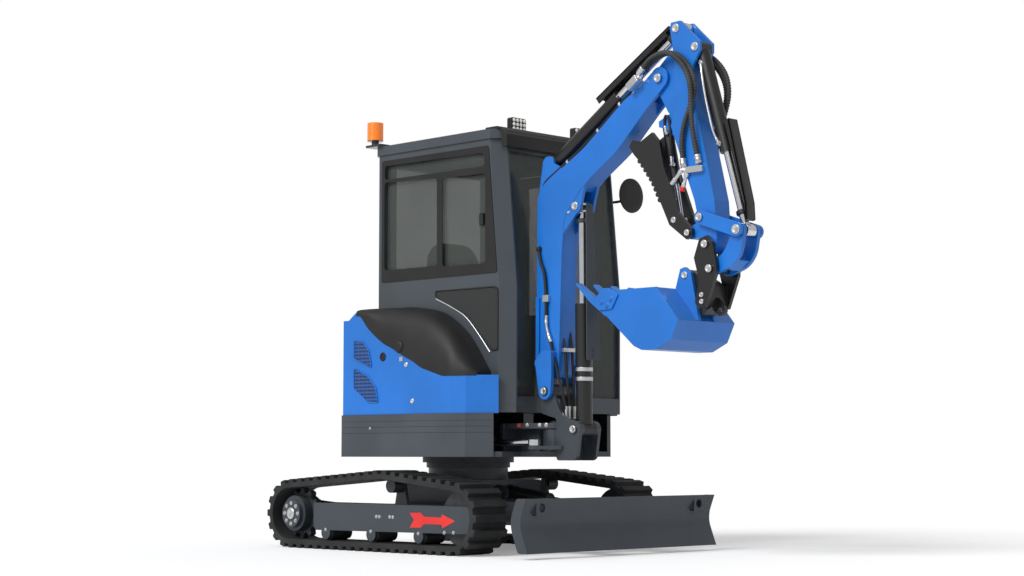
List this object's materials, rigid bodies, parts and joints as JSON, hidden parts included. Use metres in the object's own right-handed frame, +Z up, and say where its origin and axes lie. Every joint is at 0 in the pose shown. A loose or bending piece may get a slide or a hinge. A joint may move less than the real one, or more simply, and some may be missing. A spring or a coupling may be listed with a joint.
{
  "type": "mini excavator",
  "caption": "Compact tracked excavator with cab, dozer blade, swing boom, arm, quick hitch, bucket and thumb, all on working joints.",
  "frame": {"origin": "ground under the centre of the machine's bounding box, parked as in the picture", "axes": "+X forward along the tracks to the blade and bucket, +Y to the operator's left, +Z up"},
  "size_m": [3.2092, 1.54, 2.833],
  "materials": {
    "track_rubber": "matt moulded rubber",
    "frame_paint": "satin dark blue-grey paint",
    "dark_steel": "dark machined steel",
    "house_grey": "satin dark grey paint",
    "cab_grey": "satin dark grey paint",
    "blue_paint": "glossy blue paint",
    "black_plastic": "matt black moulding",
    "black_paint": "black paint",
    "chrome": "polished rod",
    "glass": "tinted glass",
    "seat_fabric": "black cloth",
    "amber": "amber lens on a dark base",
    "engine_iron": "plain cast block"
  },
  "bodies": {
    "undercarriage": {"track_right": "track_rubber", "track_left": "track_rubber", "track_frame_right": "frame_paint", "track_frame_left": "frame_paint", "track_wheels_right": "dark_steel", "track_wheels_left": "dark_steel", "final_drive_right": "frame_paint", "final_drive_left": "frame_paint", "centre_frame": "frame_paint", "slew_ring": "dark_steel"},
    "blade": {"blade": "frame_paint", "blade_arms": "frame_paint"},
    "blade_tube": {"blade_barrel": "black_paint"},
    "blade_ram": {"blade_rod": "chrome"},
    "house": {"swing_deck": "house_grey", "skirt": "house_grey", "counterweight": "house_grey", "side_cover": "blue_paint", "tank_cover": "black_plastic", "left_cover": "blue_paint", "engine": "engine_iron", "cab_floor": "cab_grey", "cab_rear": "cab_grey", "cab_right": "cab_grey", "cab_left": "cab_grey", "cab_front": "cab_grey", "cab_roof": "cab_grey", "cab_glass": "glass", "seat": "seat_fabric", "consoles": "black_plastic", "visor": "black_plastic", "beacon": "amber", "mirror_arm": "black_plastic"},
    "hood": {"hood": "blue_paint"},
    "door": {"door": "cab_grey", "door_glass": "glass"},
    "swing_bracket": {"swing_bracket": "house_grey"},
    "swing_tube": {"swing_barrel": "black_paint"},
    "swing_ram": {"swing_rod": "chrome"},
    "boom": {"boom": "blue_paint"},
    "boom_tube": {"boom_barrel": "black_paint"},
    "boom_ram": {"boom_rod": "chrome"},
    "arm": {"arm": "blue_paint"},
    "arm_tube": {"arm_barrel": "black_paint"},
    "arm_ram": {"arm_rod": "chrome"},
    "side_links": {"side_links": "blue_paint"},
    "h_link": {"h_link": "blue_paint"},
    "bucket_tube": {"bucket_barrel": "black_paint"},
    "bucket_ram": {"bucket_rod": "chrome"},
    "hitch": {"quick_hitch": "black_paint", "bucket": "blue_paint"},
    "thumb": {"thumb": "black_paint"},
    "thumb_tube": {"thumb_barrel": "black_paint"},
    "thumb_ram": {"thumb_rod": "chrome"}
  },
  "joints": [
    {"name": "slew", "type": "hinge", "parent": "undercarriage", "child": "house", "pos_m": [-0.651, 0, 0.5], "axis": [0, 0, 1], "continuous": true},
    {"name": "blade_lift", "type": "hinge", "parent": "undercarriage", "child": "blade", "pos_m": [-0.271, 0, 0.235], "axis": [0, 1, 0], "range_deg": [-17, 17]},
    {"name": "blade_tube_turn", "type": "hinge", "parent": "undercarriage", "child": "blade_tube", "pos_m": [-0.306, 0, 0.33], "axis": [0, 1, 0], "range_deg": [-16.13, 16.13]},
    {"name": "blade_ram_slide", "type": "slide", "parent": "blade_tube", "child": "blade_ram", "axis": [0.9932, 0, -0.1163], "range_m": [-0.0286, 0.0286]},
    {"name": "hood_lift", "type": "hinge", "parent": "house", "child": "hood", "pos_m": [-1.071, 0, 1.318], "axis": [0, 1, 0], "range_deg": [0, 60]},
    {"name": "door_swing", "type": "hinge", "parent": "house", "child": "door", "pos_m": [-0.795, 0.612, 0.84], "axis": [0, 0, 1], "range_deg": [0, 100]},
    {"name": "boom_swing", "type": "hinge", "parent": "house", "child": "swing_bracket", "pos_m": [0.219, -0.15, 0.64], "axis": [0, 0, -1], "range_deg": [-60, 50]},
    {"name": "swing_tube_turn", "type": "hinge", "parent": "house", "child": "swing_tube", "pos_m": [-0.501, -0.4, 0.612], "axis": [0, 0, -1], "range_deg": [-0.82, 0.88]},
    {"name": "swing_ram_slide", "type": "slide", "parent": "swing_tube", "child": "swing_ram", "axis": [0.9953, 0.0968, 0], "range_m": [-0.1446, 0.1732]},
    {"name": "boom_lift", "type": "hinge", "parent": "swing_bracket", "child": "boom", "pos_m": [0.229, -0.15, 0.895], "axis": [0, 1, 0], "range_deg": [-4, 74]},
    {"name": "boom_tube_turn", "type": "hinge", "parent": "swing_bracket", "child": "boom_tube", "pos_m": [0.429, -0.15, 0.684], "axis": [0, 1, 0], "range_deg": [-4.14, 67.76]},
    {"name": "boom_ram_slide", "type": "slide", "parent": "boom_tube", "child": "boom_ram", "axis": [-0.0098, 0, 1], "range_m": [-0.3343, 0.02]},
    {"name": "arm_crowd", "type": "hinge", "parent": "boom", "child": "arm", "pos_m": [1.035, -0.15, 2.543], "axis": [0, 1, 0], "range_deg": [-108, 3]},
    {"name": "arm_tube_turn", "type": "hinge", "parent": "boom", "child": "arm_tube", "pos_m": [0.213, -0.15, 2.168], "axis": [0, 1, 0], "range_deg": [-10.55, 0.78]},
    {"name": "arm_ram_slide", "type": "slide", "parent": "arm_tube", "child": "arm_ram", "axis": [0.8319, 0, 0.5549], "range_m": [-0.4391, 0.0141]},
    {"name": "bucket_curl", "type": "hinge", "parent": "arm", "child": "hitch", "pos_m": [1.376, -0.15, 1.627], "axis": [0, 1, 0], "range_deg": [-125, 30]},
    {"name": "side_link_turn", "type": "hinge", "parent": "arm", "child": "side_links", "pos_m": [1.331, -0.15, 1.771], "axis": [0, 1, 0], "range_deg": [-70.82, 17.38]},
    {"name": "h_link_turn", "type": "hinge", "parent": "hitch", "child": "h_link", "pos_m": [1.403, -0.15, 1.498], "axis": [0, 1, 0], "range_deg": [-19.99, 81.71]},
    {"name": "bucket_tube_turn", "type": "hinge", "parent": "arm", "child": "bucket_tube", "pos_m": [1.282, -0.15, 2.677], "axis": [0, 1, 0], "range_deg": [-3.4, 1.2]},
    {"name": "bucket_ram_slide", "type": "slide", "parent": "bucket_tube", "child": "bucket_ram", "axis": [0.2787, 0, -0.9604], "range_m": [-0.2918, 0.0716]},
    {"name": "thumb_close", "type": "hinge", "parent": "arm", "child": "thumb", "pos_m": [1.231, -0.15, 1.699], "axis": [0, 1, 0], "range_deg": [-68, 0]},
    {"name": "thumb_tube_turn", "type": "hinge", "parent": "arm", "child": "thumb_tube", "pos_m": [1.039, -0.15, 2.3], "axis": [0, 1, 0], "range_deg": [-0.5, 5.45]},
    {"name": "thumb_ram_slide", "type": "slide", "parent": "thumb_tube", "child": "thumb_ram", "axis": [0.1814, 0, -0.9834], "range_m": [-0.002, 0.1302]}
  ],
  "couplings": [
    {"joint": "blade_tube_turn", "follows": "blade_lift", "ratio": 0.91919},
    {"joint": "blade_ram_slide", "follows": "blade_lift", "m_per_rad": 0.089641},
    {"joint": "swing_tube_turn", "follows": "boom_swing", "ratio": -0.006397},
    {"joint": "swing_ram_slide", "follows": "boom_swing", "m_per_rad": -0.16344},
    {"joint": "boom_tube_turn", "follows": "boom_lift", "ratio": 0.90895},
    {"joint": "boom_ram_slide", "follows": "boom_lift", "m_per_rad": -0.25727},
    {"joint": "arm_tube_turn", "follows": "arm_crowd", "ratio": 0.093092},
    {"joint": "arm_ram_slide", "follows": "arm_crowd", "m_per_rad": 0.23191},
    {"joint": "side_link_turn", "follows": "bucket_curl", "ratio": 0.56254},
    {"joint": "h_link_turn", "follows": "bucket_curl", "ratio": -0.6497},
    {"joint": "bucket_tube_turn", "follows": "bucket_curl", "ratio": 0.02318},
    {"joint": "bucket_ram_slide", "follows": "bucket_curl", "m_per_rad": 0.13285},
    {"joint": "thumb_tube_turn", "follows": "thumb_close", "ratio": -0.072804},
    {"joint": "thumb_ram_slide", "follows": "thumb_close", "m_per_rad": -0.10805}
  ]
}
